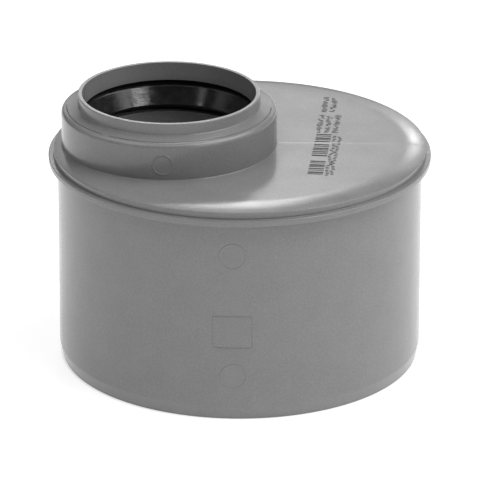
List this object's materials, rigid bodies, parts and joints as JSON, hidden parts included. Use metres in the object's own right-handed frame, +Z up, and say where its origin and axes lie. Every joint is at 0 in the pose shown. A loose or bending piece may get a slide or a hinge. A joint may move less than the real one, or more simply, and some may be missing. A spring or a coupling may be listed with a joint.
{
  "type": "eccentric pipe reducer",
  "caption": "Short moulded drain reducer: wide plain spigot with a collar and a flat cover, and a small push-fit socket with a rubber seal, set off to one side.",
  "frame": {"origin": "on the spigot's axis, in the plane of the spigot's lower end", "axes": "+Z up along the spigot towards the socket; the socket is set off towards -X; the part is symmetric about the XZ plane"},
  "size_m": [0.1156, 0.1156, 0.0832],
  "materials": {
    "grey_polypropylene": "slightly shiny moulded plastic with a faint orange peel",
    "black_rubber": "smooth lubricated rubber with a soft shine"
  },
  "bodies": {
    "root": {"reducer_body": "grey_polypropylene", "seal_ring": "black_rubber"}
  },
  "joints": []
}
